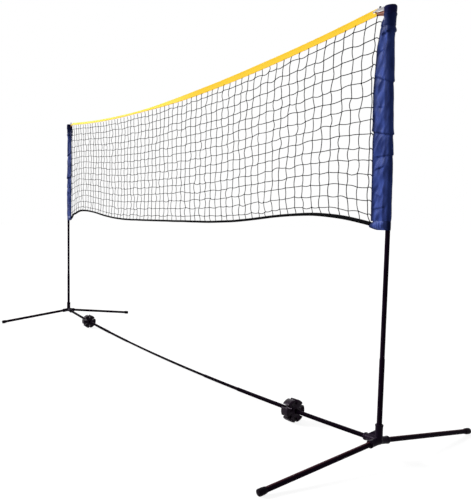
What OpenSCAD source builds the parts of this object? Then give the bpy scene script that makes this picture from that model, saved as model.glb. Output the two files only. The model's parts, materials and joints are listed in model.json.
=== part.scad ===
// Portable volleyball and badminton net on a free-standing tube frame.
// Origin on the floor midway between the poles, +X along the net, +Z up, millimetres.

/* [Frame] */
// Distance between the axes of the two poles
pole_spacing = 3200; // [2600:10:3800]
// Height of the sleeve tops above the floor
net_top = 1544; // [1450:2:1700]
// Distance from a pole axis to the tip of its legs
leg_reach = 525; // [400:5:650]
// Distance from a pole axis to its bar support
support_offset = 450; // [350:5:600]
// How far the ground bar sags between its two supports
bar_sag = 25.5; // [16:0.5:32]

/* [Tubes] */
// Outer diameter of the legs and the lower poles
pole_d = 18.6; // [16:0.2:22]
// Wall of the legs and the poles
pole_wall = 0.9; // [0.8:0.1:1.5]
// Height of the open end of a lower pole
lower_pole_top = 360; // [300:5:500]
// Height at which an upper pole starts to bend inwards
bow_start = 720; // [650:10:900]
// How far the pull of the net bends a pole top inwards
pole_bow = 30; // [5:1:40]
// Outer diameter of the outer bar tubes
bar_d = 17.4; // [16:0.2:20]
// Wall of the bar tubes
bar_wall = 1.1; // [0.8:0.1:1.4]
// Distance from a pole axis to the open end of its outer bar tube
bar_outer_reach = 840; // [700:5:950]
// Length of a middle bar tube that shows
bar_middle_length = 290; // [150:5:350]
// Length of a bar tube that is inside the next one
bar_overlap = 70; // [50:5:100]
// Radial clearance between tubes that slide in each other
slide_gap = 0.1; // [0.05:0.01:0.1]
// Radial clearance of a tube in its socket or cap
socket_gap = 0.1; // [0.05:0.05:0.2]

/* [Hub] */
// Outer diameter of the upright post socket
post_d = 26.5; // [26:0.5:34]
// Height of the post socket above the leg axes
post_height = 58; // [50:1:90]
// Outer diameter of the leg sockets
leg_socket_d = 26.5; // [26:0.5:32]
// Outer diameter of the bar socket
bar_socket_d = 27; // [24:0.5:30]
// Distance from the hub centre to the mouth of a leg socket
leg_socket_length = 46; // [42:1:80]
// Distance from the hub centre to the mouth of the bar socket
bar_socket_length = 61; // [50:1:90]
// Distance from the hub centre to the floor of each side socket
socket_floor = 20; // [18:1:30]
// Depth of the post socket floor below the leg axes
post_floor = 6; // [3:1:8]
// How far a socket rim stands proud
rim_step = 1; // [0.6:0.2:3]
// Length of a socket rim
rim_length = 6; // [4:1:12]
// Thickness of the gusset ribs
rib_t = 4; // [2:0.5:8]
// Height of the upright rib, as a share of the post socket
rib_share = 0.6; // [0.4:0.05:0.9]
// Reach of the level web, as a share of the side sockets
web_share = 0.72; // [0.5:0.02:0.8]

/* [Foot caps] */
// Outer diameter of a foot cap
cap_d = 24; // [23:0.5:30]
// Length of a foot cap
cap_length = 31; // [28:1:50]
// Wall of a foot cap at its mouth
cap_mouth = 1.2; // [1:0.1:2]
// Length over which a foot cap widens from its mouth
cap_taper = 12; // [6:1:20]
// Thickness of a cap's closed end
cap_end = 5; // [4:0.5:8]
// Radius of the rounding at a cap's end
cap_round = 4; // [2:0.5:5]
// Depth of the flat sole cut into a cap
sole_depth = 2; // [1:0.5:2.5]

/* [Bar supports] */
// Outer diameter of a bar support
support_d = 95; // [88:1:130]
// Width of a bar support along the bar
support_w = 47; // [30:1:60]
// Number of lobes of a bar support
lobes = 6; // [4:2:8]
// Width of the slots between the lobes
slot_w = 13; // [8:1:20]
// Distance from the bar axis to the bottom of a slot
slot_floor = 24; // [20:1:35]
// Chamfer round the lobes
lobe_chamfer = 5; // [2:1:8]
// Depth of the dish in each face of a bar support
dish_depth = 5; // [2:1:10]
// Outer diameter of the boss round the bar
boss_d = 28; // [26:1:40]

/* [Net] */
// Nominal distance between two strings of the net
mesh = 48.5; // [40:0.5:60]
// Number of knotted rows
knot_rows = 15; // [12:1:18]
// Thickness of a net string
string_d = 1.8; // [1.2:0.2:3]
// Distance from a pole axis to the outermost upright string
net_inset = 95; // [90:1:110]
// Depth of the net from the tape's middle line to the cord, at midspan
net_depth = 650; // [560:2:760]
// Height of the top tape
tape_h = 28; // [20:1:45]
// Thickness of the top tape
tape_t = 3; // [2:0.5:5]
// How far the tape sags at midspan
tape_sag = 78; // [30:1:140]
// Distance from the sleeve tops down to the middle of the tape ends
tape_drop = 4; // [2:1:20]
// Thickness of the bottom cord
cord_d = 9; // [5:0.5:12]
// How far the bottom cord rises from midspan to its crests
cord_rise = 42; // [10:1:90]
// How far the bottom cord falls from its crests to its ends
cord_fall = 31; // [10:1:80]
// Place of a crest, as a share of the half span
crest_share = 0.81; // [0.7:0.002:0.9]
// How narrow the crests of the bottom cord are
crest_power = 3.2; // [1:0.1:5]
// How far the bottom cord runs on past the outermost string
cord_tail = 16; // [8:1:17]

/* [Sleeves] */
// Thickness of the sleeve cloth
cloth = 1.5; // [1:0.1:2]
// Radius of a sleeve round its pole
sleeve_r = 11; // [10.5:0.5:20]
// Radius of the folded edge of a sleeve
edge_r = 6; // [4:0.5:8]
// Distance from the pole axis to the folded edge
sleeve_reach = 74; // [60:1:76]
// Radius of a sleeve at its waist, under the cuff
waist_r = 17; // [15:0.5:20]
// Distance from the pole axis to the folded edge at the waist
waist_reach = 36; // [30:1:50]
// Radius of a sleeve at its shoulder
shoulder_r = 12.5; // [12:0.5:20]
// How much narrower a sleeve is at its shoulder than at its full width
shoulder_step = 9; // [0:1:15]
// Distance from the cuff down to the narrow part of the sleeve
waist_length = 22; // [12:1:60]
// Distance from the waist down to where the sleeve reaches its full width
shoulder_length = 150; // [100:5:300]
// Outer radius of a cuff
cuff_r = 21.5; // [20:0.5:28]
// Height of a cuff
cuff_h = 31; // [24:1:45]
// Rounding of a cuff's top edge
cuff_round = 5; // [2:0.5:8]
// Height of the bottom hem of a sleeve
hem_h = 30; // [20:1:34]
// Reach of the hem's lower edge, as a share of the sleeve's
hem_share = 0.8; // [0.7:0.02:0.9]
// How much smaller the hem's lower edge is round its pole
hem_tuck = 0.5; // [0.1:0.1:0.5]

/* [Fittings] */
// Diameter of a pole cap's head
pole_cap_d = 20; // [19:0.5:24]
// Thickness of a pole cap's head
pole_cap_t = 5; // [3:0.5:8]
// Length of a pole cap's stem in the pole
pole_cap_stem = 18; // [10:1:30]
// Hole of an eyelet
eyelet_bore = 4; // [3:0.5:5]
// Outer diameter of an eyelet's flange
eyelet_d = 10; // [9:0.5:12]
// Width of a tie strap at the cuff
strap_w = 8; // [5:0.5:10]
// Thickness of a tie strap
strap_t = 1.5; // [1:0.1:2]
// Diameter of a cord stop
cord_stop_d = 7; // [5:0.5:10]

/* [Hidden] */

$fn = 48;
// Small overlap of a cutting tool past the face that it cuts
cut = 1;
// Most that a bent pole may lean at its top, in degrees
bow_limit = 6;
// Thickness of the slices that a loft is hulled from
slice = 0.2;
// Clearance between the cloth and the hard parts that it hangs on
cloth_gap = 0.3;

pole_x = pole_spacing / 2;
support_x = pole_x - support_offset;

// The bar bends on one long arc from hub to hub
bend_r = (pow(support_x, 2) + pow(bar_sag, 2)) / (2 * bar_sag);
support_slope = asin(support_x / bend_r);
socket_slope = asin((pole_x - bar_socket_length / 2) / bend_r);
support_rest = sqrt(pow(support_d / 2, 2) - pow(slot_w / 2, 2));
support_z = support_rest * cos(support_slope) + (support_w / 2 - lobe_chamfer) * sin(support_slope);
bar_mid_z = support_z - bar_sag;
hub_z = bar_mid_z + bend_r - sqrt(pow(bend_r, 2) - pow(pole_x, 2));

// Nested bar tubes, each one a sliding fit in the one before
bar_bore = bar_d - 2 * bar_wall;
middle_d = bar_bore - 2 * slide_gap;
middle_bore = middle_d - 2 * bar_wall;
centre_d = middle_bore - 2 * slide_gap;
centre_bore = centre_d - 2 * bar_wall;
outer_end_x = pole_x - bar_outer_reach;
middle_end_x = outer_end_x - bar_middle_length;

// Poles
pole_bore = pole_d - 2 * pole_wall;
upper_d = pole_bore - 2 * slide_gap;
upper_bore = upper_d - 2 * pole_wall;
post_floor_z = hub_z - post_floor;
cuff_top_t = cloth + 0.5;
pole_cap_rise = pole_cap_d / 2 * sin(bow_limit);
pole_cap_top = net_top - cuff_top_t - cloth_gap - pole_cap_rise;
upper_pole_top = pole_cap_top - pole_cap_t;
bow_height = upper_pole_top - bow_start;
// Straight steps in the bent part of a pole
bow_steps = 12;

// Legs slope down from the hub so that their caps stand on the floor
foot_z = cap_d / 2 - sole_depth;
leg_slope = atan((hub_z - foot_z) / leg_reach);
leg_length = leg_reach / cos(leg_slope);

// Net
net_half = pole_x - net_inset;
mesh_count = round(2 * net_half / mesh);
pitch = 2 * net_half / mesh_count;
tape_end_z = net_top - tape_drop;
tape_mid_z = tape_end_z - tape_sag;
cord_mid_z = tape_mid_z - net_depth;
crest_x = crest_share * net_half;
cord_end_x = net_half + cord_tail;
cord_end_z = cord_z(cord_end_x);
tape_end_x = net_half + 5;
// Share of a mesh above the first and below the last knotted row
top_part = 0.55;
bottom_part = 0.55;
row_total = knot_rows - 1 + top_part + bottom_part;
// Lengths that a row is made in, each ending at a knot behind an upright string
row_lengths = 6;
// Straight steps in one length of a row
row_steps = 5;
// Clearance between two lengths of a row, behind the upright string that joins them
row_gap = 0.3;
// Clearance between the end of a row and the folded edge of a sleeve
edge_gap = 0.2;

// Fittings at the ends of the tape
patch_low = 0.42;
patch_high = 0.1;
patch_margin = 2;
eyelet_flange_t = 0.8;
eyelet_barrel_d = eyelet_bore + 2;
eyelet_x = tape_end_x - eyelet_d / 2 - 1;
eyelet_z = tape_end_z;
cuff_x = pole_x - bow(net_top - cuff_h);
cuff_side_x = cuff_x - cuff_r - cloth_gap;
strap_face_y = tape_t / 2 + eyelet_flange_t;
strap_top_z = net_top + strap_w / 4;

// Sleeves
cuff_bottom = net_top - cuff_h;
waist_z = cuff_bottom - waist_length;
shoulder_z = waist_z - shoulder_length;
hang_z = (shoulder_z + bow_start) / 2 + cuff_h;
hem_top = cord_end_z + hem_h * 0.3;
hem_bottom = hem_top - hem_h;
// Stations of a sleeve: height, reach of the folded edge, radius round the pole
stations = [
    [cuff_bottom, cuff_r + 1, cuff_r],
    [waist_z, waist_reach, waist_r],
    [shoulder_z, sleeve_reach - shoulder_step, shoulder_r],
    [hang_z, sleeve_reach + 1, sleeve_r],
    [hem_top, sleeve_reach, sleeve_r]
];
edge_by_height = [
    for (i = [len(stations) - 1 : -1 : 0])
        [stations[i][0], pole_x - bow(stations[i][0]) - stations[i][1]]
];

// How far a pole's axis is bent inwards at a height, and its lean there in degrees
function bow_share(z) = max(0, (z - bow_start) / bow_height);
function bow(z) = pole_bow * pow(bow_share(z), 2);
function bow_lean(z) = atan(2 * pole_bow * bow_share(z) / bow_height);

// Height of the tape's middle line and of the bottom cord along the net
function tape_z(x) = tape_mid_z + tape_sag * pow(x / net_half, 2);
function swell(x) = pow((1 - cos(180 * abs(x) / crest_x)) / 2, crest_power);
function drop(x) = pow((abs(x) - crest_x) / (net_half + cord_tail - crest_x), 2);
function cord_z(x) =
    abs(x) < crest_x ? cord_mid_z + cord_rise * swell(x) : cord_mid_z + cord_rise - cord_fall * drop(x);

// Edges of the netting, and the height of a knotted row between them
function net_top_z(x) = tape_z(x) - tape_h / 2;
function net_bottom_z(x) = cord_z(x) + cord_d / 2;
function row_share(j) = j <= 0 ? 0 : j > knot_rows ? 1 : (top_part + j - 1) / row_total;
function row_z(x, j) = net_top_z(x) + (net_bottom_z(x) - net_top_z(x)) * row_share(j);
function string_x(i) = -net_half + i * pitch;

// Points of an arc of an outline, from one angle to another
function arc_points(centre, r, from, to, steps) =
    [for (i = [0 : steps]) let (a = from + (to - from) * i / steps) centre + r * [cos(a), sin(a)]];

module at_left() {
    mirror([1, 0, 0])
        children();
}

module at_back() {
    mirror([0, 1, 0])
        children();
}

// Frame of the front leg: the origin is at the hub centre and +Z runs down the leg
module along_front_leg() {
    translate([pole_x, 0, hub_z])
        rotate([90 + leg_slope, 0, 0])
            children();
}

// Frame of the bar socket: the origin is at the hub centre and +Z runs along the bar
module along_bar() {
    translate([pole_x, 0, hub_z])
        rotate([0, -90 - socket_slope, 0])
            children();
}

// Bent tube of the bar, between two distances from the middle
module bent_bar(from_x, to_x, outer_d, inner_d) {
    from_angle = asin(from_x / bend_r);
    to_angle = asin(to_x / bend_r);
    translate([0, 0, bar_mid_z + bend_r])
        rotate([90, 0, 0])
            rotate([0, 0, from_angle - 90])
                rotate_extrude(angle = to_angle - from_angle, $fn = 3600)
                    translate([bend_r, 0])
                        difference() {
                            circle(d = outer_d, $fn = 48);
                            circle(d = inner_d, $fn = 48);
                        }
}

// Socket with a rim at its mouth, from the origin along +Z
module socket(outer_d, length) {
    cylinder(h = length - rim_length, d = outer_d);
    translate([0, 0, length - rim_length - rim_step])
        cylinder(h = rim_step, d1 = outer_d, d2 = outer_d + 2 * rim_step);
    translate([0, 0, length - rim_length])
        cylinder(h = rim_length, d = outer_d + 2 * rim_step);
}

module tube(length, outer_d, inner_d) {
    difference() {
        cylinder(h = length, d = outer_d);
        translate([0, 0, -cut])
            cylinder(h = length + 2 * cut, d = inner_d);
    }
}

// Upright rib from the post down to the bar socket
module bar_rib() {
    rib_end = bar_socket_length - 2 * rim_length;
    translate([pole_x, rib_t / 2, hub_z])
        rotate([90, 0, 0])
            linear_extrude(rib_t)
                polygon([
                    [0, 0],
                    [0, post_height * rib_share],
                    [-post_d / 2, post_height * rib_share],
                    [-rib_end, bar_socket_d / 2 - bar_socket_length * tan(socket_slope)],
                    [-rib_end, 0]
                ]);
}

// Level web that ties the bar socket to both leg sockets
module level_web() {
    leg_reach_y = leg_socket_length * web_share;
    bar_reach_x = bar_socket_length * web_share;
    leg_half = leg_socket_d / 2 - 1;
    bar_half = bar_socket_d / 2 - 1;
    translate([pole_x, 0, hub_z - leg_socket_d / 4])
        linear_extrude(rib_t)
            polygon([
                [0, leg_reach_y],
                [-leg_half, leg_reach_y],
                [-bar_reach_x, bar_half],
                [-bar_reach_x, -bar_half],
                [-leg_half, -leg_reach_y],
                [0, -leg_reach_y]
            ]);
}

module hub() {
    color([0.07, 0.06, 0.09])
        difference() {
            union() {
                translate([pole_x, 0, hub_z])
                    sphere(d = post_d + 3);
                translate([pole_x, 0, hub_z])
                    socket(post_d, post_height);
                along_front_leg()
                    socket(leg_socket_d, leg_socket_length);
                at_back()
                    along_front_leg()
                        socket(leg_socket_d, leg_socket_length);
                along_bar()
                    socket(bar_socket_d, bar_socket_length);
                bar_rib();
                level_web();
            }
            translate([pole_x, 0, post_floor_z])
                cylinder(h = post_floor + post_height + cut, d = pole_d + 2 * socket_gap);
            along_front_leg()
                side_bore(pole_d, leg_socket_length);
            at_back()
                along_front_leg()
                    side_bore(pole_d, leg_socket_length);
            along_bar()
                side_bore(bar_d, bar_socket_length);
        }
}

module side_bore(tube_d, mouth) {
    translate([0, 0, socket_floor])
        cylinder(h = mouth - socket_floor + cut, d = tube_d + 2 * socket_gap);
}

module leg() {
    color([0.16, 0.12, 0.14])
        along_front_leg()
            translate([0, 0, socket_floor])
                tube(leg_length - socket_floor - cap_end, pole_d, pole_bore);
}

module foot_cap() {
    r = cap_d / 2;
    inner_r = pole_d / 2 + socket_gap;
    color([0.06, 0.06, 0.07])
        intersection() {
            along_front_leg()
                translate([0, 0, leg_length - cap_length])
                    rotate_extrude()
                        polygon(concat(
                            [[inner_r, 0], [inner_r + cap_mouth, 0], [r, cap_taper]],
                            arc_points([r - cap_round, cap_length - cap_round], cap_round, 0, 90, 6),
                            [[0, cap_length], [0, cap_length - cap_end], [inner_r, cap_length - cap_end]]
                        ));
            translate([pole_x - cap_d, -leg_reach - cap_d, 0])
                cube([2 * cap_d, leg_reach, 4 * hub_z]);
        }
}

module bar_tube() {
    color([0.13, 0.11, 0.12])
        bent_bar(outer_end_x, pole_x - socket_floor, bar_d, bar_bore);
}

module bar_middle() {
    color([0.14, 0.12, 0.13])
        bent_bar(middle_end_x, outer_end_x + bar_overlap, middle_d, middle_bore);
}

module bar_centre() {
    color([0.12, 0.1, 0.11])
        bent_bar(-middle_end_x - bar_overlap, middle_end_x + bar_overlap, centre_d, centre_bore);
}

// Slot between two lobes, with a round floor
module lobe_slot() {
    translate([slot_floor + slot_w / 2, 0])
        circle(d = slot_w);
    translate([slot_floor + slot_w / 2, -slot_w / 2])
        square([support_d, slot_w]);
}

// Bar support: thick lobes round a core, standing on the two lowest ones
module bar_support() {
    r = support_d / 2;
    half_w = support_w / 2;
    dish_r = r - 2 * lobe_chamfer;
    color([0.1, 0.08, 0.09])
        translate([support_x, 0, support_z])
            rotate([0, -90 - support_slope, 0])
                difference() {
                    rotate_extrude($fn = 96)
                        polygon([
                            [bar_d / 2 + socket_gap, -half_w],
                            [boss_d / 2, -half_w],
                            [boss_d / 2 + 1, -half_w + dish_depth],
                            [dish_r - dish_depth, -half_w + dish_depth],
                            [dish_r, -half_w],
                            [r - lobe_chamfer, -half_w],
                            [r, -half_w + lobe_chamfer],
                            [r, half_w - lobe_chamfer],
                            [r - lobe_chamfer, half_w],
                            [dish_r, half_w],
                            [dish_r - dish_depth, half_w - dish_depth],
                            [boss_d / 2 + 1, half_w - dish_depth],
                            [boss_d / 2, half_w],
                            [bar_d / 2 + socket_gap, half_w]
                        ]);
                    for (i = [0 : lobes - 1])
                        rotate([0, 0, 360 / lobes * i])
                            translate([0, 0, -support_w])
                                linear_extrude(2 * support_w)
                                    lobe_slot();
                }
}

module lower_pole() {
    color([0.13, 0.11, 0.12])
        translate([pole_x, 0, post_floor_z])
            tube(lower_pole_top - post_floor_z, pole_d, pole_bore);
}

// Upper pole: straight in the lower pole, then bent inwards up to its top
module upper_pole() {
    sides = 32;
    heights = concat([post_floor_z], [for (k = [0 : bow_steps]) bow_start + bow_height * k / bow_steps]);
    last = len(heights) - 1;
    wall = sides * len(heights);
    points = [
        for (r = [upper_d / 2, upper_bore / 2])
            for (z = heights)
                for (k = [0 : sides - 1])
                    let (across = r * cos(360 * k / sides), lean = bow_lean(z))
                    [pole_x - bow(z) + across * cos(lean), r * sin(360 * k / sides), z + across * sin(lean)]
    ];
    walls = [
        for (i = [0 : last - 1])
            for (k = [0 : sides - 1])
                let (low = i * sides, high = low + sides, next = (k + 1) % sides)
                for (face = [
                    [low + k, low + next, high + next, high + k],
                    [wall + low + k, wall + high + k, wall + high + next, wall + low + next]
                ])
                    face
    ];
    ends = [
        for (k = [0 : sides - 1])
            let (top = last * sides, next = (k + 1) % sides)
            for (face = [
                [k, wall + k, wall + next, next],
                [top + k, top + next, wall + top + next, wall + top + k]
            ])
                face
    ];
    color([0.2, 0.14, 0.16])
        polyhedron(points, concat(walls, ends));
}

module pole_cap() {
    head_r = pole_cap_d / 2;
    stem_r = upper_bore / 2 - socket_gap;
    color([0.06, 0.06, 0.07])
        translate([pole_x - pole_bow, 0, upper_pole_top])
            rotate([0, -bow_lean(upper_pole_top), 0])
                rotate_extrude()
                    polygon(concat(
                        [[0, -pole_cap_stem], [stem_r - 1, -pole_cap_stem], [stem_r, 1 - pole_cap_stem]],
                        [[stem_r, 0], [head_r, 0]],
                        arc_points([head_r - 2, pole_cap_t - 2], 2, 0, 90, 5),
                        [[0, pole_cap_t]]
                    ));
}

// Level strings of the net, tied to the folded edges of both sleeves
module net_rows() {
    color([0.12, 0.12, 0.15])
        for (j = [1 : knot_rows])
            for (part = [0 : row_lengths - 1])
                row_length(j, part);
}

// One length of a knotted row, from one upright string to another
module row_length(j, part) {
    half = string_d / 2;
    from_x = string_x(round(mesh_count * part / row_lengths)) + row_gap / 2;
    to_x = string_x(round(mesh_count * (part + 1) / row_lengths)) - row_gap / 2;
    end_z = row_z(net_half, j);
    end_x = lookup(end_z, edge_by_height) - edge_gap;
    path = concat(
        part == 0 ? [[-end_x, end_z]] : [],
        [for (k = [0 : row_steps]) let (x = from_x + (to_x - from_x) * k / row_steps) [x, row_z(x, j)]],
        part == row_lengths - 1 ? [[end_x, end_z]] : []
    );
    last = len(path) - 1;
    translate([0, string_d, 0])
        rotate([90, 0, 0])
            linear_extrude(string_d)
                polygon(concat(
                    [for (k = [0 : last]) path[k] + [0, half]],
                    [for (k = [last : -1 : 0]) path[k] - [0, half]]
                ));
}

// Upright strings of the net, in front of the rows that they are knotted to
module net_uprights() {
    half = string_d / 2;
    color([0.12, 0.12, 0.15])
        for (i = [0 : mesh_count])
            let (x = string_x(i))
            rotate([90, 0, 0])
                linear_extrude(string_d)
                    polygon([
                        [x - half, net_bottom_z(x)],
                        [x + half, net_bottom_z(x)],
                        [x + half, net_top_z(x)],
                        [x - half, net_top_z(x)]
                    ]);
}

module top_tape() {
    stations_x = concat([-tape_end_x], [for (i = [0 : mesh_count]) string_x(i)], [tape_end_x]);
    upper_edge = [for (x = stations_x) [x, tape_z(x) + tape_h / 2]];
    lower_edge = [for (x = stations_x) [-x, tape_z(x) - tape_h / 2]];
    color([1, 0.78, 0.12])
        difference() {
            translate([0, tape_t / 2, 0])
                rotate([90, 0, 0])
                    linear_extrude(tape_t)
                        polygon(concat(upper_edge, lower_edge));
            for (side = [-1, 1])
                translate([side * eyelet_x, tape_t, eyelet_z])
                    rotate([90, 0, 0])
                        cylinder(h = 2 * tape_t, d = eyelet_barrel_d + 2 * socket_gap);
        }
}

module eyelet() {
    face = tape_t / 2;
    color([0.4, 0.24, 0.14])
        translate([eyelet_x, 0, eyelet_z])
            rotate([90, 0, 0])
                rotate_extrude()
                    polygon([
                        [eyelet_bore / 2, -face - eyelet_flange_t],
                        [eyelet_d / 2, -face - eyelet_flange_t],
                        [eyelet_d / 2, -face],
                        [eyelet_barrel_d / 2, -face],
                        [eyelet_barrel_d / 2, face],
                        [eyelet_d / 2, face],
                        [eyelet_d / 2, face + eyelet_flange_t],
                        [eyelet_bore / 2, face + eyelet_flange_t]
                    ]);
}

// Cord of eight sides, its top side level under the lowest strings of the net
module bottom_cord() {
    sides = 8;
    corner_r = cord_d / 2 / cos(180 / sides);
    stations_x = concat([-cord_end_x], [for (i = [0 : mesh_count]) string_x(i)], [cord_end_x]);
    last = len(stations_x) - 1;
    points = [
        for (x = stations_x)
            for (k = [0 : sides - 1])
                let (angle = 360 * (k + 0.5) / sides)
                [x, corner_r * cos(angle), cord_z(x) + corner_r * sin(angle)]
    ];
    walls = [
        for (i = [0 : last - 1])
            for (k = [0 : sides - 1])
                let (next = (k + 1) % sides)
                [i * sides + k, i * sides + next, (i + 1) * sides + next, (i + 1) * sides + k]
    ];
    ends = [[for (k = [sides - 1 : -1 : 0]) k], [for (k = [0 : sides - 1]) last * sides + k]];
    color([0.05, 0.05, 0.06])
        polyhedron(points, concat(walls, ends));
}

// Brown patch that joins the end of the tape to the cuff
module tape_patch() {
    color([0.42, 0.16, 0.1])
        translate([0, tape_t / 2, 0])
            rotate([90, 0, 0])
                linear_extrude(tape_t)
                    polygon([
                        [tape_end_x, tape_end_z - tape_h * patch_low],
                        [tape_end_x, tape_end_z + tape_h * patch_high],
                        [cuff_side_x, tape_end_z - patch_margin],
                        [cuff_side_x, cuff_bottom + patch_margin]
                    ]);
}

// White strap from the eyelet up to the cuff
module tie_strap() {
    color([0.9, 0.9, 0.9])
        translate([0, -strap_face_y, 0])
            rotate([90, 0, 0])
                linear_extrude(strap_t)
                    polygon([
                        [eyelet_x - eyelet_d / 3, eyelet_z - eyelet_d / 4],
                        [eyelet_x - eyelet_d / 4, eyelet_z + eyelet_d / 4],
                        [eyelet_x + eyelet_d / 2, strap_top_z],
                        [cuff_side_x, strap_top_z],
                        [cuff_side_x, strap_top_z - strap_w]
                    ]);
}

// Small barrel that stands on the upper edge of the strap
module cord_stop() {
    color([0.06, 0.06, 0.07])
        translate([(tape_end_x + cuff_side_x) / 2, -strap_face_y - strap_t / 2, strap_top_z])
            rotate_extrude()
                polygon([
                    [0, 0],
                    [cord_stop_d * 0.35, 0],
                    [cord_stop_d / 2, cord_stop_d * 0.2],
                    [cord_stop_d / 2, cord_stop_d * 0.8],
                    [cord_stop_d * 0.35, cord_stop_d],
                    [0, cord_stop_d]
                ]);
}

// Thin slice of a sleeve: round at the pole, with a second round for the folded edge
module sleeve_slice(z, reach, pole_r, inset) {
    axis_x = pole_x - bow(z);
    translate([axis_x, 0, z])
        cylinder(h = slice, r = pole_r - inset, $fn = 32);
    translate([axis_x + edge_r - reach, 0, z])
        cylinder(h = slice, r = edge_r - inset, $fn = 16);
}

// Solid between two stations of the sleeve
module sleeve_loft(low, high, inset) {
    hull() {
        sleeve_slice(low[0], low[1], low[2], inset);
        sleeve_slice(high[0] - slice, high[1], high[2], inset);
    }
}

module sleeve() {
    color([0.2, 0.26, 0.52])
        difference() {
            for (i = [0 : len(stations) - 2])
                sleeve_loft(stations[i + 1], stations[i], 0);
            for (i = [0 : len(stations) - 2])
                sleeve_loft(
                    [stations[i + 1][0] - cut, stations[i + 1][1], stations[i + 1][2]],
                    [stations[i][0] + cut, stations[i][1], stations[i][2]],
                    cloth
                );
        }
}

// Closed pocket of cloth over the top of the pole
module cuff() {
    color([0.15, 0.16, 0.36])
        translate([cuff_x, 0, cuff_bottom])
            rotate_extrude()
                polygon(concat(
                    [[cuff_r - cloth, 0], [cuff_r, 0]],
                    arc_points([cuff_r - cuff_round, cuff_h - cuff_round], cuff_round, 0, 90, 6),
                    [[0, cuff_h], [0, cuff_h - cuff_top_t], [cuff_r - cloth, cuff_h - cuff_top_t]]
                ));
}

// Bottom hem of the sleeve, with the tab that holds the end of the bottom cord
module hem() {
    top = [hem_top, sleeve_reach, sleeve_r];
    bottom = [hem_bottom, sleeve_reach * hem_share, sleeve_r - hem_tuck];
    tab_length = pole_x - sleeve_reach + edge_r - cord_end_x;
    tab_h = hem_top - cord_end_z + cord_d;
    color([0.2, 0.26, 0.52])
        difference() {
            union() {
                sleeve_loft(bottom, top, 0);
                translate([cord_end_x, -edge_r, cord_end_z - cord_d])
                    cube([tab_length, 2 * edge_r, tab_h]);
            }
            sleeve_loft(
                [bottom[0] - cut, bottom[1], bottom[2]],
                [top[0] + cut, top[1], top[2]],
                cloth
            );
        }
}

hub();  // right_hub
at_left() hub();  // left_hub
leg();  // right_front_leg
at_back() leg();  // right_back_leg
at_left() leg();  // left_front_leg
at_left() at_back() leg();  // left_back_leg
foot_cap();  // right_front_foot_cap
at_back() foot_cap();  // right_back_foot_cap
at_left() foot_cap();  // left_front_foot_cap
at_left() at_back() foot_cap();  // left_back_foot_cap
bar_tube();  // right_bar_tube
at_left() bar_tube();  // left_bar_tube
bar_middle();  // right_bar_middle
at_left() bar_middle();  // left_bar_middle
bar_centre();
bar_support();  // right_bar_support
at_left() bar_support();  // left_bar_support
lower_pole();  // right_lower_pole
at_left() lower_pole();  // left_lower_pole
upper_pole();  // right_upper_pole
at_left() upper_pole();  // left_upper_pole
pole_cap();  // right_pole_cap
at_left() pole_cap();  // left_pole_cap
net_rows();
net_uprights();
top_tape();
bottom_cord();
tape_patch();  // right_tape_patch
at_left() tape_patch();  // left_tape_patch
eyelet();  // right_eyelet
at_left() eyelet();  // left_eyelet
tie_strap();  // right_tie_strap
at_left() tie_strap();  // left_tie_strap
cord_stop();  // right_cord_stop
at_left() cord_stop();  // left_cord_stop
sleeve();  // right_sleeve
at_left() sleeve();  // left_sleeve
cuff();  // right_cuff
at_left() cuff();  // left_cuff
hem();  // right_hem
at_left() hem();  // left_hem
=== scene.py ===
import json
import random
from math import acos, atan2, copysign, cos, exp, hypot, pi, radians, sin, sqrt, tanh

import bpy
from mathutils import Matrix, Vector, noise

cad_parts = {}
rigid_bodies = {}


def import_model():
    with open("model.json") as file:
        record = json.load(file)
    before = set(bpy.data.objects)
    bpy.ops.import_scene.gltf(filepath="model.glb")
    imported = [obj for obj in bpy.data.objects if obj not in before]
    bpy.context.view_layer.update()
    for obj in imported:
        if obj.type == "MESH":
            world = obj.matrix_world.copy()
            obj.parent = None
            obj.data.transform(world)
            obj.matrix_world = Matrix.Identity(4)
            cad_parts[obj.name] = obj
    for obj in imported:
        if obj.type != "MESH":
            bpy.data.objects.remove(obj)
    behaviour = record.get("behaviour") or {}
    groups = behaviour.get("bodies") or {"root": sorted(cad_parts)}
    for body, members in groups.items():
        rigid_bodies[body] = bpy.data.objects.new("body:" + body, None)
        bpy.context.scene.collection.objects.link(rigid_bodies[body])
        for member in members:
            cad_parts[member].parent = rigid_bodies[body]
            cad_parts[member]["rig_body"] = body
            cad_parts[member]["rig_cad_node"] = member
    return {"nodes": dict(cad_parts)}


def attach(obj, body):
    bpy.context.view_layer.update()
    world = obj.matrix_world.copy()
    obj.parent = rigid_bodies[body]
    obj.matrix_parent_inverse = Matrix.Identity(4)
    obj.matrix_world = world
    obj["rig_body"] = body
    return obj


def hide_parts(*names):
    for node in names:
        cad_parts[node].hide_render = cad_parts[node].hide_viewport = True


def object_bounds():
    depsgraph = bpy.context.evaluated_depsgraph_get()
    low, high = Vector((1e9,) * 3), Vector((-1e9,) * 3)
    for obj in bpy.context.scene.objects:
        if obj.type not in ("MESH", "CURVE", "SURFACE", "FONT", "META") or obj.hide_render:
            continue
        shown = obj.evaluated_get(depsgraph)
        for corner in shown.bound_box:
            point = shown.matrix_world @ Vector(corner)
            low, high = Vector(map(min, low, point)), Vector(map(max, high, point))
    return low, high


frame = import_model()
cadLow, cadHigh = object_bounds()
print("frame loaded with", len(frame["nodes"]), "nodes")

# the two ends of the object, with their signs along X
sides = {"right": 1, "left": -1}


# ---- small tools for numbers

def clamp(value):
    return min(1, max(0, value))


def mixed(first, second, share):
    return first + (second - first) * share


def bell(value):
    return exp(-value ** 2)


def between(stations, z):
    # value at a height, in straight lines between the (height, value) pairs of a list that starts at the top
    if z >= stations[0][0]:
        return stations[0][1]
    for (highZ, highValue), (lowZ, lowValue) in zip(stations, stations[1:]):
        if z >= lowZ:
            return mixed(highValue, lowValue, (highZ - z) / (highZ - lowZ))
    return stations[-1][1]


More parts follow.
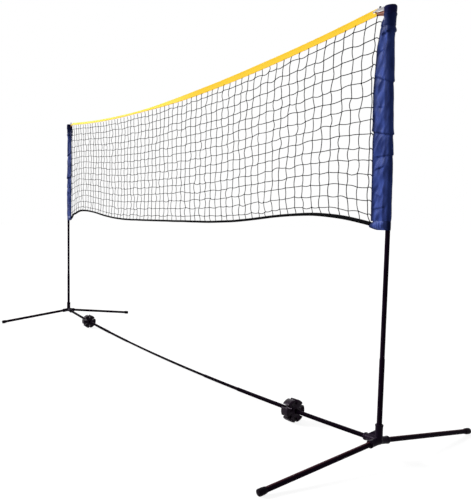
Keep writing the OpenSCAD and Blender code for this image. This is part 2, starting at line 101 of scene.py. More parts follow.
# ---- small tools for meshes

def deselectAll():
    if bpy.context.object and bpy.context.object.mode != "OBJECT":
        bpy.ops.object.mode_set(mode="OBJECT")
    bpy.ops.object.select_all(action="DESELECT")


def pick(piece):
    deselectAll()
    piece.select_set(True)
    bpy.context.view_layer.objects.active = piece


def addObject(name, data):
    piece = bpy.data.objects.new(name, data)
    bpy.context.scene.collection.objects.link(piece)
    return piece


def settle(piece):
    # the place of a finished piece is in its mesh
    pick(piece)
    bpy.ops.object.transform_apply(location=True, rotation=True, scale=True)


def applyModifiers(piece):
    pick(piece)
    for modifier in list(piece.modifiers):
        bpy.ops.object.modifier_apply(modifier=modifier.name)


def onWholeMesh(piece, operator, **settings):
    pick(piece)
    bpy.ops.object.mode_set(mode="EDIT")
    bpy.ops.mesh.select_all(action="SELECT")
    operator(**settings)
    bpy.ops.object.mode_set(mode="OBJECT")


def mergeDoubles(piece, distance=0.00002):
    onWholeMesh(piece, bpy.ops.mesh.remove_doubles, threshold=distance)


def turnOutwards(piece):
    onWholeMesh(piece, bpy.ops.mesh.normals_make_consistent, inside=False)


def closeEnds(piece):
    pick(piece)
    bpy.ops.object.mode_set(mode="EDIT")
    bpy.ops.mesh.select_all(action="DESELECT")
    bpy.ops.mesh.select_non_manifold()
    bpy.ops.mesh.fill()
    bpy.ops.object.mode_set(mode="OBJECT")


def smooth(piece, degrees):
    pick(piece)
    bpy.ops.object.shade_smooth_by_angle(angle=radians(degrees))


def thicken(piece, thickness, offset=-1.0):
    modifier = piece.modifiers.new("wall", "SOLIDIFY")
    modifier.thickness = thickness
    modifier.offset = offset
    applyModifiers(piece)


def wrappedGrid(name, columns, rows, pointAt, size):
    # a flat grid whose points are laid on a formula; size is its real length and width
    deselectAll()
    bpy.ops.mesh.primitive_grid_add(x_subdivisions=columns, y_subdivisions=rows, size=1)
    piece = bpy.context.object
    piece.name = name
    for vertex in piece.data.vertices:
        vertex.co = pointAt(vertex.co.x + 0.5, vertex.co.y + 0.5)
    for loop in piece.data.uv_layers.active.data:
        loop.uv = (loop.uv[0] * size[0], loop.uv[1] * size[1])
    return piece


def closedCloth(name, v, pointAt, size, degrees):
    # cloth that closes on itself, with its thickness on the inner side
    cloth = wrappedGrid(name, v["around"], v["down"], pointAt, size)
    mergeDoubles(cloth)
    turnOutwards(cloth)
    thicken(cloth, v["cloth"])
    smooth(cloth, degrees)
    return cloth


def shortStrip(name, v, pointAt):
    # a flat strip with half its thickness on either side
    strip = wrappedGrid(name, v["columns"], v["rows"], pointAt, v["woven"])
    thicken(strip, v["thickness"], 0)
    turnOutwards(strip)
    smooth(strip, 50)
    return strip


def stringCurve(name, lines, radius):
    # round strings along lists of points, made a mesh
    curve = bpy.data.curves.new(name, "CURVE")
    curve.dimensions = "3D"
    curve.bevel_depth = radius
    curve.bevel_resolution = 1
    curve.use_fill_caps = True
    for line in lines:
        spline = curve.splines.new("POLY")
        spline.points.add(len(line) - 1)
        for point, place in zip(spline.points, line):
            point.co = (*place, 1)
    pick(addObject(name, curve))
    bpy.ops.object.convert(target="MESH")
    return bpy.context.object


# ---- small tools for shader nodes

def feed(node, inputs):
    # each input is linked to another node's output, or set to a value
    for label, value in inputs.items():
        if isinstance(value, bpy.types.NodeSocket):
            node.id_data.links.new(value, node.inputs[label])
        else:
            node.inputs[label].default_value = value


def addNode(tree, kind, inputs=None, **settings):
    node = tree.nodes.new(kind)
    for setting, value in settings.items():
        setattr(node, setting, value)
    feed(node, inputs or {})
    return node


def joinNode(kind, inputs, **settings):
    # outputs of a new node, in the tree of those that feed it
    tree = next(value.id_data for value in inputs.values() if isinstance(value, bpy.types.NodeSocket))
    return addNode(tree, kind, inputs, **settings).outputs


def emptyTree(owner):
    owner.use_nodes = True
    owner.node_tree.nodes.clear()
    return owner.node_tree


def maths(operation, *values):
    return joinNode("ShaderNodeMath", dict(enumerate(values)), operation=operation)[0]


def times(first, second):
    return maths("MULTIPLY", first, second)


def spread(value, low, high, toLow=0.0, toHigh=1.0):
    # the range from low to high becomes the range from toLow to toHigh
    ends = {"Value": value, "From Min": low, "From Max": high, "To Min": toLow, "To Max": toHigh}
    return joinNode("ShaderNodeMapRange", ends)["Result"]


def apart(vector):
    return joinNode("ShaderNodeSeparateXYZ", {"Vector": vector})


def stretched(vector, factors):
    return joinNode("ShaderNodeVectorMath", {0: vector, 1: factors}, operation="MULTIPLY")[0]


def noiseOn(vector, scale, detail=2.0, roughness=0.5):
    inputs = {"Vector": vector, "Scale": scale, "Detail": detail, "Roughness": roughness}
    return joinNode("ShaderNodeTexNoise", inputs)["Fac"]


# ---- camera

cameraValues = {
    "place": (2.9377, -1.5769, 0.8344),
    "heading": 57.9295,
    "tilt": 4.7541,
    "roll": 1.0047,
    "focalLength": 41.963,
    "shift": (0.06766, 0.03180),
}


def makeCamera():
    v = cameraValues
    heading, tilt, roll = (radians(v[angle]) for angle in ("heading", "tilt", "roll"))
    ahead = Vector((-sin(heading) * cos(tilt), cos(heading) * cos(tilt), -sin(tilt)))
    level = Vector((cos(heading), sin(heading), 0))
    upright = level.cross(ahead)
    right = cos(roll) * level + sin(roll) * upright
    up = -sin(roll) * level + cos(roll) * upright
    data = bpy.data.cameras.new("camera")
    data.lens = v["focalLength"]
    data.sensor_width = 36
    data.shift_x, data.shift_y = v["shift"]
    data.clip_end = 100
    camera = addObject("camera", data)
    turn = Matrix((right, up, -ahead)).transposed()
    camera.matrix_world = Matrix.Translation(v["place"]) @ turn.to_4x4()
    bpy.context.scene.camera = camera


makeCamera()
print("camera set")


# ---- light and floor

lightValues = {
    # where each lamp shines from, how soft it is in degrees, and its power
    "suns": {
        "keySun": ((-0.777, -0.629, 0.53), 22, 3.6),
        "fillSun": ((0.9, -0.5, 0.9), 60, 0.12),
        "backSun": ((-0.85, 0.55, 0.45), 50, 0.9),
    },
    "lampDistance": 3,
    "white": (1, 1, 1, 1),
    "worldLight": 0.16,
    "floorSize": 80,
    "floorDrop": 0.0003,
    "floorColour": (0.26, 0.26, 0.26, 1),
    "floorGlow": 0.88,
}


def addSun(name, direction, softness, power):
    bpy.ops.object.light_add(type="SUN", location=direction * lightValues["lampDistance"])
    lamp = bpy.context.object
    lamp.name = name
    lamp.data.angle = radians(softness)
    lamp.data.energy = power
    lamp.rotation_mode = "QUATERNION"
    lamp.rotation_quaternion = (-direction).to_track_quat("-Z", "Y")


def seenDirectly(tree):
    # 1 for camera, glossy and transmission rays, else 0
    ray = addNode(tree, "ShaderNodeLightPath").outputs
    direct = maths("MAXIMUM", ray["Is Camera Ray"], ray["Is Glossy Ray"])
    return maths("MAXIMUM", direct, ray["Is Transmission Ray"])


def makeWorld():
    v = lightValues
    world = bpy.data.worlds.new("studio")
    bpy.context.scene.world = world
    tree = emptyTree(world)
    light = addNode(tree, "ShaderNodeBackground", {"Color": v["white"], "Strength": v["worldLight"]})
    seen = addNode(tree, "ShaderNodeBackground", {"Color": v["white"], "Strength": 1})
    ends = {"Fac": seenDirectly(tree), 1: light.outputs[0], 2: seen.outputs[0]}
    addNode(tree, "ShaderNodeOutputWorld", {"Surface": joinNode("ShaderNodeMixShader", ends)[0]})


def makeFloor():
    v = lightValues
    bpy.ops.mesh.primitive_plane_add(size=v["floorSize"], location=(0, 0, cadLow.z - v["floorDrop"]))
    floor = bpy.context.object
    floor.name = "studioFloor"
    settle(floor)
    material = bpy.data.materials.new("paleFloor")
    tree = emptyTree(material)
    matt = addNode(tree, "ShaderNodeBsdfDiffuse", {"Color": v["floorColour"]})
    power = times(seenDirectly(tree), v["floorGlow"])
    glow = joinNode("ShaderNodeEmission", {"Color": v["white"], "Strength": power})
    both = joinNode("ShaderNodeAddShader", {0: matt.outputs[0], 1: glow[0]})
    addNode(tree, "ShaderNodeOutputMaterial", {"Surface": both[0]})
    floor.data.materials.append(material)


bpy.context.scene.view_settings.view_transform = "Standard"
deselectAll()
for name, (direction, softness, power) in lightValues["suns"].items():
    addSun(name, Vector(direction), softness, power)
makeWorld()
makeFloor()
print("stage and light set")


# ---- shader groups shared by the materials

def newGroup(name, inputs, outputs):
    # an input with a number is a number and any other a vector; all outputs are numbers
    group = bpy.data.node_groups.new(name, "ShaderNodeTree")
    for label, value in inputs.items():
        kind = "NodeSocketFloat" if isinstance(value, float) else "NodeSocketVector"
        socket = group.interface.new_socket(label, in_out="INPUT", socket_type=kind)
        if value is not None:
            socket.default_value = value
    for label in outputs:
        group.interface.new_socket(label, in_out="OUTPUT", socket_type="NodeSocketFloat")
    return group, addNode(group, "NodeGroupInput").outputs, addNode(group, "NodeGroupOutput")


def makeGrainGroup():
    # fine pits and slow patches of a moulded or coated skin
    group, start, end = newGroup("mouldedGrain", {"Vector": None, "Scale": 900.0}, ["Height", "Patches"])
    fine = noiseOn(start["Vector"], start["Scale"], 3)
    slow = noiseOn(start["Vector"], times(start["Scale"], 0.035), 4)
    feed(end, {"Height": fine, "Patches": spread(slow, 0.3, 0.7)})
    return group


def makeScuffGroup():
    # short rubbed marks that run along one direction
    inputs = {"Vector": None, "Along": (1, 1, 0.12), "Scale": 90.0}
    group, start, end = newGroup("rubbedMarks", inputs, ["Mask"])
    marks = noiseOn(stretched(start["Vector"], start["Along"]), start["Scale"], 6, 0.7)
    feed(end, {"Mask": spread(marks, 0.60, 0.72)})
    return group


def makeWeaveGroup():
    # plain weave on a UV map in metres, with slubs in the yarn
    group, start, end = newGroup("plainWeave", {"Vector": None, "Threads": 1400.0}, ["Height", "Slubs"])
    place = apart(start["Vector"])
    waves = []
    for axis in "XY":
        threads = times(place[axis], start["Threads"])
        waves.append(maths("SINE", times(threads, pi)))
    slubs = noiseOn(stretched(start["Vector"], (1.0, 0.15, 1.0)), 260, 3)
    feed(end, {"Height": times(*waves), "Slubs": spread(slubs, 0.3, 0.7)})
    return group


def makeStitchGroup():
    # a row of stitches along one line of a UV map in metres
    inputs = {"Vector": None, "Line": 0.01, "Length": 0.004, "Width": 0.0007}
    group, start, end = newGroup("stitchRow", inputs, ["Mask"])
    place = apart(start["Vector"])
    across = maths("ABSOLUTE", maths("SUBTRACT", place["Y"], start["Line"]))
    onLine = maths("LESS_THAN", across, start["Width"])
    step = maths("FRACT", maths("DIVIDE", place["X"], start["Length"]))
    inStitch = maths("LESS_THAN", step, 0.72)
    feed(end, {"Mask": times(onLine, inStitch)})
    return group


def makeTwistGroup():
    # strands that wind both ways round a rope, on a UV map of metres along and shares of a turn around
    inputs = {"Vector": None, "Turns": 90.0, "Strands": 3.0}
    group, start, end = newGroup("windingStrands", inputs, ["Height"])
    place = apart(start["Vector"])
    along = times(place["X"], start["Turns"])
    around = times(place["Y"], start["Strands"])
    ridges = []
    for way in ("ADD", "SUBTRACT"):
        turns = times(maths(way, along, around), pi)
        ridges.append(maths("ABSOLUTE", maths("SINE", turns)))
    feed(end, {"Height": maths("MAXIMUM", *ridges)})
    return group


grainGroup = makeGrainGroup()
scuffGroup = makeScuffGroup()
weaveGroup = makeWeaveGroup()
stitchGroup = makeStitchGroup()
twistGroup = makeTwistGroup()


# ---- materials

looks = {}


def startMaterial(name):
    # gives the shader, and the places on the object and on the cloth laid flat
    looks[name] = bpy.data.materials.new(name)
    tree = emptyTree(looks[name])
    shader = addNode(tree, "ShaderNodeBsdfPrincipled")
    addNode(tree, "ShaderNodeOutputMaterial", {"Surface": shader.outputs[0]})
    places = addNode(tree, "ShaderNodeTexCoord").outputs
    return shader, places["Object"], places["UV"]


def useGroup(group, vector, **values):
    return joinNode("ShaderNodeGroup", {"Vector": vector, **values}, node_tree=group)


def blendColour(mask, *colours):
    first, second = ((*c, 1) if isinstance(c, tuple) else c for c in colours)
    return joinNode("ShaderNodeMix", {0: mask, 6: first, 7: second}, data_type="RGBA")[2]


def bump(shader, height, depth, strength, under=None):
    inputs = {"Distance": depth, "Strength": strength, "Height": height}
    if under:
        inputs["Normal"] = under
    normal = joinNode("ShaderNodeBump", inputs)[0]
    feed(shader, {"Normal": normal})
    return normal


def coat(shader, colour, roughness, gloss, tint=(1, 1, 1, 1)):
    # the tint is that of the gloss
    feed(shader, {"Base Color": colour, "Roughness": roughness})
    feed(shader, {"Specular IOR Level": gloss, "Specular Tint": tint})


def stitchMask(cloth, lines, length, width):
    mask = None
    for line in lines:
        row = useGroup(stitchGroup, cloth, Line=line, Length=length, Width=width)["Mask"]
        mask = maths("MAXIMUM", mask, row) if mask else row
    return mask


def lighter(colour, factor):
    return tuple(part * factor for part in colour)


# light is how light the paint is; the other two numbers give a painted highlight on the top of a lying tube,
# its strength and its colour
steelSkin = {"colour": (0.0082, 0.0040, 0.0105), "worn": (0.022, 0.012, 0.019), "patchLight": 1.7,
             "grain": 700.0, "depth": 0.00006, "strength": 0.5, "scuffs": 120.0,
             "roughness": (0.30, 0.46), "tint": (1.0, 0.45, 0.60, 1), "topHighlight": 0}
plasticSkin = {"light": 1.0, "patchLight": 1.6, "strength": 0.6, "scuffs": 150.0, "along": (1, 1, 0.6),
               "tint": (0.95, 0.72, 1.0, 1), "topHighlight": 0}
skinValues = {
    "uprightSteel": {**steelSkin, "along": (1, 1, 0.1), "gloss": 0.010, "light": 1.0},
    "legSteel": {**steelSkin, "along": (1, 0.1, 1), "gloss": 0.010, "light": 0.9, "topHighlight": 0.8,
                 "topHighlightColour": (0.075, 0.026, 0.034)},
    "barSteel": {**steelSkin, "along": (0.1, 1, 1), "gloss": 0.002, "light": 0.35, "topHighlight": 0.40,
                 "topHighlightColour": (0.045, 0.034, 0.048)},
    "hubPlastic": {**plasticSkin, "colour": (0.0062, 0.0034, 0.0088), "worn": (0.019, 0.013, 0.023),
                   "roughness": (0.28, 0.46), "grain": 1100.0, "depth": 0.00008, "gloss": 0.04},
    "supportPlastic": {**plasticSkin, "colour": (0.0075, 0.0040, 0.0082), "worn": (0.032, 0.020, 0.030),
                       "roughness": (0.24, 0.44), "grain": 900.0, "depth": 0.00012, "gloss": 0.08},
    "footRubber": {**plasticSkin, "colour": (0.0048, 0.0032, 0.0052), "worn": (0.014, 0.011, 0.014),
                   "roughness": (0.50, 0.70), "grain": 1300.0, "depth": 0.00012, "gloss": 0.04},
    "capPlastic": {**plasticSkin, "colour": (0.0080, 0.0080, 0.0100), "worn": (0.026, 0.026, 0.030),
                   "roughness": (0.35, 0.5), "grain": 1300.0, "depth": 0.00006, "gloss": 0.05},
}


def wornSkin(name):
    # paint or moulded plastic: fine grain, two tones, and short marks where it is rubbed off
    v = skinValues[name]
    shader, place, _ = startMaterial(name)
    grain = useGroup(grainGroup, place, Scale=v["grain"])
    scuffs = useGroup(scuffGroup, place, Along=v["along"], Scale=v["scuffs"])
    paint, worn = lighter(v["colour"], v["light"]), lighter(v["worn"], v["light"])
    tint = blendColour(grain["Patches"], paint, lighter(paint, v["patchLight"]))
    colour = blendColour(scuffs["Mask"], tint, worn)
    # painted highlight: the tops of lying tubes are lighter, where light falls on them
    if v["topHighlight"]:
        normal = addNode(shader.id_data, "ShaderNodeNewGeometry").outputs["Normal"]
        top = spread(apart(normal)["Z"], 0.80, 0.98, 0, v["topHighlight"])
        colour = blendColour(top, colour, v["topHighlightColour"])
    coat(shader, colour, spread(grain["Patches"], 0, 1, *v["roughness"]), v["gloss"], v["tint"])
    bump(shader, grain["Height"], v["depth"], v["strength"])


twineValues = {
    "dark": (0.003, 0.003, 0.004),
    "light": (0.012, 0.011, 0.014),
    "lightPatches": 26,
    "brown": (0.036, 0.018, 0.015),
    "brownPatches": 7,
    "fibres": 700,
    "roughness": 0.75,
    "gloss": 0.01,
}


def netTwine():
    v = twineValues
    shader, place, _ = startMaterial("netTwine")
    light = spread(noiseOn(place, v["lightPatches"]), 0.42, 0.66)
    brown = spread(noiseOn(place, v["brownPatches"]), 0.58, 0.75)
    grey = blendColour(light, v["dark"], v["light"])
    waves = {"Vector": place, "Scale": v["fibres"], "Distortion": 1.5}
    fibres = joinNode("ShaderNodeTexWave", waves, bands_direction="DIAGONAL")
    coat(shader, blendColour(brown, grey, v["brown"]), v["roughness"], v["gloss"])
    bump(shader, fibres["Fac"], 0.0002, 0.7)


tapeValues = {
    "yellow": (0.96, 0.61, 0.016),
    "shade": (0.90, 0.53, 0.010),
    "shadeShare": 0.22,
    "paleYellow": (0.92, 0.76, 0.075),
    "fadeFrom": 0.3,
    "fadeTo": -1.2,
    "threads": 1100.0,
    "thread": (0.90, 0.54, 0.012),
    # metres of cloth from the lower edge of the front to each row of stitches
    "stitchLines": (0.0035, 0.0235, 0.0391, 0.0591),
    "stitch": (0.0042, 0.0005),
    "glow": 0.20,
    "roughness": 0.6,
    "gloss": 0.10,
}


def yellowTape():
    v = tapeValues
    shader, place, cloth = startMaterial("yellowTape")
    weave = useGroup(weaveGroup, cloth, Threads=v["threads"])
    mask = stitchMask(cloth, v["stitchLines"], *v["stitch"])
    slubbed = blendColour(weave["Slubs"], v["yellow"], v["shade"])
    softer = blendColour(v["shadeShare"], v["yellow"], slubbed)
    # the left half of the tape is paler
    fade = spread(apart(place)["X"], v["fadeFrom"], v["fadeTo"])
    colour = blendColour(mask, blendColour(fade, softer, v["paleYellow"]), v["thread"])
    coat(shader, colour, v["roughness"], v["gloss"])
    # painted light: the tape's own colour is added as a little glow, to make it brighter
    feed(shader, {"Emission Color": colour, "Emission Strength": v["glow"]})
    under = bump(shader, weave["Height"], 0.00008, 0.5)
    bump(shader, mask, 0.0002, 0.5, under)


braidValues = {
    "shadedTone": (0.002, 0.002, 0.003),
    "high": (0.005, 0.005, 0.006),
    "turns": 110.0,
    "strands": 4.0,
    "roughness": 0.7,
    "gloss": 0.01,
    "depth": 0.0012,
}


def braidedCord():
    v = braidValues
    shader, _, cloth = startMaterial("braidedCord")
    strands = useGroup(twistGroup, cloth, Turns=v["turns"], Strands=v["strands"])
    # painted shade: the grooves between the strands are darker than their crowns
    coat(shader, blendColour(strands["Height"], v["shadedTone"], v["high"]), v["roughness"], v["gloss"])
    bump(shader, strands["Height"], v["depth"], 0.9)


satin = {
    # metres of cloth round a sleeve, laid flat
    "flat": 0.185,
    "threads": 1500.0,
    "patchLean": -24,
    "patchScale": (46, 46, 17),
    # distances from the fold over which its painted shade strip fades, and how dark it is
    "strip": (0.0080, 0.0250, 0.90),
    # distances past roundFrom at which the other painted shade band is full, begins to end, and has ended
    "band": (0.008, 0.014, 0.026),
    # the left sleeve is more evenly lit
    "leftContrast": 0.2,
    "shadeUnderCuffFrom": (1.445, 1.475),
    "stitch": (0.0036, 0.0004),
    "tint": (0.30, 0.45, 1.0, 1),
    "rim": (0.006, 0.008, 0.030),
    "roundFrom": 0.060,
    "roundKept": 1.0,
}
clothValues = {
    "blueCloth": {
        **satin, "lit": (0.048, 0.081, 0.325), "shadedTone": (0.020, 0.033, 0.150),
        "gathered": (0.015, 0.024, 0.105), "seams": (), "gloss": 0.07, "roughness": (0.34, 0.46),
        "roundFrom": 0.056, "roundShade": 0.55, "roundKept": 0.25,
    },
    "hemCloth": {
        **satin, "lit": (0.056, 0.088, 0.330), "shadedTone": (0.022, 0.036, 0.150),
        "gathered": (0.02, 0.03, 0.10), "seams": (0.003, 0.026), "thread": (0.02, 0.03, 0.11),
        "gloss": 0.10, "roughness": (0.30, 0.42), "roundShade": 0.75,
    },
    "navyCloth": {
        **satin, "lit": (0.014, 0.016, 0.078), "shadedTone": (0.010, 0.011, 0.055),
        "gathered": (0.012, 0.013, 0.066), "seams": (0.004,), "thread": (0.02, 0.024, 0.09),
        "gloss": 0.05, "roughness": (0.45, 0.55), "rim": (0.005, 0.006, 0.026), "roundShade": 0.0,
    },
}


def paintedShadeBands(cloth, across, v):
    # painted shade: the folded edge, in the middle of the flat cloth, is darkened, and so is the cloth
    # beside the pole
    full, ending, ended = (v["roundFrom"] + distance for distance in v["band"])
    fadeFrom, fadeTo, shade = v["strip"]
    fromFold = maths("ABSOLUTE", maths("SUBTRACT", apart(cloth)["X"], v["flat"] / 2))
    contrast = spread(across, -1, 1, v["leftContrast"], 1)
    strip = times(spread(fromFold, fadeFrom, fadeTo, shade, 0), contrast)
    beside = spread(fromFold, v["roundFrom"], full, 0, v["roundShade"])
    past = spread(fromFold, ending, ended, 1, v["roundKept"])
    return strip, times(times(beside, past), contrast)


def satinCloth(name):
    v = clothValues[name]
    shader, place, cloth = startMaterial(name)
    weave = useGroup(weaveGroup, cloth, Threads=v["threads"])
    turn = (0, radians(v["patchLean"]), 0)
    leaning = {"Vector": place, "Rotation": turn, "Scale": v["patchScale"]}
    soft = noiseOn(joinNode("ShaderNodeMapping", leaning)[0], 1, 3)
    # painted light: the soft patches mix lit and shaded colour, standing in for the satin's highlights
    colour = blendColour(spread(soft, 0.38, 0.62), v["shadedTone"], v["lit"])
    colour = blendColour(spread(weave["Slubs"], 0, 1, 0, 0.3), colour, v["lit"])
    ends = apart(place)
    strip, band = paintedShadeBands(cloth, ends["X"], v)
    # painted shade: satin seen edge-on is darkened
    rim = addNode(shader.id_data, "ShaderNodeLayerWeight", {"Blend": 0.25}).outputs["Facing"]
    for shade in (strip, band, spread(rim, 0.35, 0.95)):
        colour = blendColour(shade, colour, v["rim"])
    # painted shade: the gathered cloth high up under the cuff is darkened
    colour = blendColour(spread(ends["Z"], *v["shadeUnderCuffFrom"]), colour, v["gathered"])
    if v["seams"]:
        colour = blendColour(stitchMask(cloth, v["seams"], *v["stitch"]), colour, v["thread"])
    gloss = spread(maths("MAXIMUM", strip, times(band, 1.4)), 0, 0.8, v["gloss"], v["gloss"] * 0.2)
    coat(shader, colour, spread(soft, 0.3, 0.7, *v["roughness"]), gloss, v["tint"])
    under = bump(shader, weave["Height"], 0.00004, 0.3)
    bump(shader, soft, 0.0008, 0.25, under)


trimValues = {
    "brownPatch": {"dark": (0.20, 0.045, 0.022), "light": (0.42, 0.17, 0.10), "grain": 1400.0,
                   "depth": 0.0003, "strength": 0.6, "shader": {"Roughness": 0.6}},
    "whiteWebbing": {"dark": (0.55, 0.54, 0.58), "light": (0.72, 0.71, 0.74), "threads": 900.0,
                     "depth": 0.0002, "strength": 0.7,
                     "shader": {"Roughness": 0.7, "Specular IOR Level": 0.2}},
    "dullBrass": {"dark": (0.30, 0.15, 0.06), "light": (0.52, 0.34, 0.17), "grain": 1600.0,
                  "depth": 0.00005, "strength": 0.5, "shader": {"Metallic": 1}, "roughness": (0.3, 0.5)},
}


def plainTrim(name):
    # hide, webbing or brass in two tones
    v = trimValues[name]
    shader, place, cloth = startMaterial(name)
    if "threads" in v:
        pattern = useGroup(weaveGroup, cloth, Threads=v["threads"])
    else:
        pattern = useGroup(grainGroup, place, Scale=v["grain"])
    feed(shader, {"Base Color": blendColour(pattern[1], v["dark"], v["light"]), **v["shader"]})
    if "roughness" in v:
        feed(shader, {"Roughness": spread(pattern[1], 0, 1, *v["roughness"])})
    bump(shader, pattern["Height"], v["depth"], v["strength"])


netTwine()
yellowTape()
braidedCord()
for makeLook, names in ((wornSkin, skinValues), (satinCloth, clothValues), (plainTrim, trimValues)):
    for name in names:
        makeLook(name)
print("materials made")


# ---- tubes, caps and eyelets keep their solids and get a finish

def paint(piece, look):
    piece.data.materials.clear()
    piece.data.materials.append(looks[look])


def finishPiece(piece, body, look, stoodFor=()):
    paint(piece, look)
    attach(piece, body)
    if stoodFor:
        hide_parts(*stoodFor)


tubeLooks = {
    "uprightSteel": ("lower_pole", "upper_pole"),
    "legSteel": ("front_leg", "back_leg"),
    "barSteel": ("bar_tube", "bar_middle"),
    "dullBrass": ("eyelet",),
    "capPlastic": ("cord_stop", "pole_cap"),
}

for look, parts in tubeLooks.items():
    for part in parts:
        for side in sides:
            paint(frame["nodes"][f"{side}_{part}"], look)
paint(frame["nodes"]["bar_centre"], "barSteel")
print("tubes dressed")


# ---- moulded pieces: a copy of the solid with its edges rounded as the mould leaves them

mouldValues = {
    "hub_plastic": {"look": "hubPlastic", "grid": 0.0010, "softening": 5, "keep": 0.16},
    "support_plastic": {"look": "supportPlastic", "grid": 0.0013, "softening": 6, "keep": 0.16},
    "foot_rubber": {"look": "footRubber", "grid": 0.0009, "softening": 4, "keep": 0.20},
}


def makeMoulding(slot, node, name):
    v = mouldValues[slot]
    pick(frame["nodes"][node])
    bpy.ops.object.duplicate()
    piece = bpy.context.object
    piece.name = name
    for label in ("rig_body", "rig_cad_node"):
        if label in piece:
            del piece[label]
    piece.parent = None
    mergeDoubles(piece, 0.00001)
    grid = piece.modifiers.new("grid", "REMESH")
    grid.mode = "VOXEL"
    grid.voxel_size = v["grid"]
    soften = piece.modifiers.new("soften", "SMOOTH")
    soften.factor = 0.5
    soften.iterations = v["softening"]
    thin = piece.modifiers.new("thin", "DECIMATE")
    thin.ratio = v["keep"]
    applyModifiers(piece)
    pick(piece)
    bpy.ops.object.shade_smooth()
    finishPiece(piece, "frame", v["look"], [node])


for side in sides:
    makeMoulding("hub_plastic", f"{side}_hub", f"{side}HubMoulding")
    makeMoulding("support_plastic", f"{side}_bar_support", f"{side}SupportMoulding")
    for end in ("front", "back"):
        makeMoulding("foot_rubber", f"{side}_{end}_foot_cap", f"{side}{end.capitalize()}FootCap")
print("moulded pieces rounded")


# ---- the lines that the net follows, the same as those of its solids

netValues = {
    "halfLength": 1.505,
    "meshes": 62,
    "knotRows": 15,
    "topShare": 0.55,
    "rowTotal": 15.1,
    "tapeMiddle": 1.462,
    "tapeSag": 0.078,
    "tapeHeight": 0.028,
    "cordMiddle": 0.812,
    "cordRise": {"right": 0.042, "left": 0.060},
    "cordFall": {"right": 0.031, "left": 0.057},
    "crestShare": {"right": 0.81, "left": 0.85},
    "crestPower": 3.2,
    "cordTail": 0.016,
    "cordWidth": 0.009,
    "poleX": 1.6,
    "bowStart": 0.72,
    "poleTop": 1.5357,
    "poleBow": 0.030,
}
halfLength, meshes, knotRows = (netValues[name] for name in ("halfLength", "meshes", "knotRows"))


def poleAxisX(z):
    # the pull of the net bends the poles inwards above a height
    v = netValues
    share = max(0, (z - v["bowStart"]) / (v["poleTop"] - v["bowStart"]))
    return v["poleX"] - v["poleBow"] * share ** 2


def tapeZ(x):
    return netValues["tapeMiddle"] + netValues["tapeSag"] * (x / halfLength) ** 2


def cordZ(x):
    v = netValues
    side = "right" if x > 0 else "left"
    rise, fall = v["cordRise"][side], v["cordFall"][side]
    crest = v["crestShare"][side] * halfLength
    if abs(x) < crest:
        return v["cordMiddle"] + rise * ((1 - cos(pi * abs(x) / crest)) / 2) ** v["crestPower"]
    past = (abs(x) - crest) / (halfLength + v["cordTail"] - crest)
    return v["cordMiddle"] + rise - fall * past ** 2


def netTop(x):
    return tapeZ(x) - netValues["tapeHeight"] / 2


def netBottom(x):
    return cordZ(x) + netValues["cordWidth"] / 2


def rowZ(x, row):
    share = (netValues["topShare"] + row - 1) / netValues["rowTotal"]
    return mixed(netTop(x), netBottom(x), share)


def stringX(index):
    return -halfLength + 2 * halfLength * index / meshes


# ---- netting: slack strings knotted to each other

slackValues = {
    "twine": 0.00160,
    "topLean": 0.013,
    "topLeanDepth": 0.045,
    "bottomLean": 0.016,
    "bottomLeanDepth": 0.030,
    "leanStart": 0.55,
    # random shift of a knot along, out of and up the net
    "knotShift": (0.0022, 0.0015, 0.0020),
    "rowBow": 0.0034,
    "rowSag": 0.0012,
    # sideways and outward bow of an upright string of one full mesh
    "uprightBow": (0.00286, 0.002),
    "fullMesh": 0.045,
    # how far the uprights run into the tape and into the bottom cord
    "inTape": 0.004,
    "inCord": 0.001,
    # side ties: how far past the sleeve's edge, how far out, how far down, and how far they bow up
    "tie": (0.001, 0.0005, 0.006, 0.0045),
    "billow": 0.010,
    "knotSize": 0.0024,
    "steps": 4,
}


def leanSide(x):
    # from -1 to 1, to which side the uprights lean
    return tanh(x / slackValues["leanStart"])


def leaning(x, z):
    v = slackValues
    top = v["topLean"] * exp(-(netTop(x) - z) / v["topLeanDepth"])
    bottom = v["bottomLean"] * exp(-(z - netBottom(x)) / v["bottomLeanDepth"])
    return leanSide(x) * (top + bottom)


def netY(x, z):
    # the slack net stands a little out of the plane of the poles
    depth = (netTop(x) - z) / (netTop(x) - netBottom(x))
    ends = 1 - min(1, abs(x) / halfLength) ** 4
    belly = sin(pi * clamp(depth))
    return slackValues["billow"] * belly * ends * noise.noise(Vector((x * 1.7, z * 2.3, 4.1)))


def placeKnots():
    chance = random.Random(11)
    shiftX, shiftY, shiftZ = slackValues["knotShift"]
    knots = {}
    for index in range(meshes + 1):
        for row in range(1, knotRows + 1):
            x = stringX(index)
            z = rowZ(x, row)
            x += leaning(x, z) + chance.gauss(0, shiftX)
            z += chance.gauss(0, shiftZ)
            y = netY(x, z) + chance.gauss(0, shiftY)
            knots[index, row] = Vector((x, y, z))
    return knots


def bowed(start, end, bow):
    # points of a slack string from one knot up to the next
    shares = [step / slackValues["steps"] for step in range(slackValues["steps"])]
    return [start.lerp(end, share) + bow * (4 * share * (1 - share)) for share in shares]


def sideTie(outer, side):
    past, out, down, bow = slackValues["tie"]
    edgeX = sides[side] * (poleAxisX(outer.z) - sleeveReach(outer.z, side) + past)
    edge = Vector((edgeX, out, outer.z - down))
    return bowed(outer, edge, Vector((0, 0, bow))) + [edge]


def rowLines(knots, chance):
    bow, sag = slackValues["rowBow"], slackValues["rowSag"]
    lines = []
    for row in range(1, knotRows + 1):
        stops = [knots[index, row] for index in range(meshes + 1)]
        line = []
        for start, end in zip(stops, stops[1:]):
            slack = Vector((0, chance.gauss(0, bow * 0.5), chance.gauss(-sag, bow * 0.6)))
            line += bowed(start, end, slack)
        lines.append(sideTie(stops[0], "left")[::-1] + line[1:] + sideTie(stops[-1], "right"))
    return lines


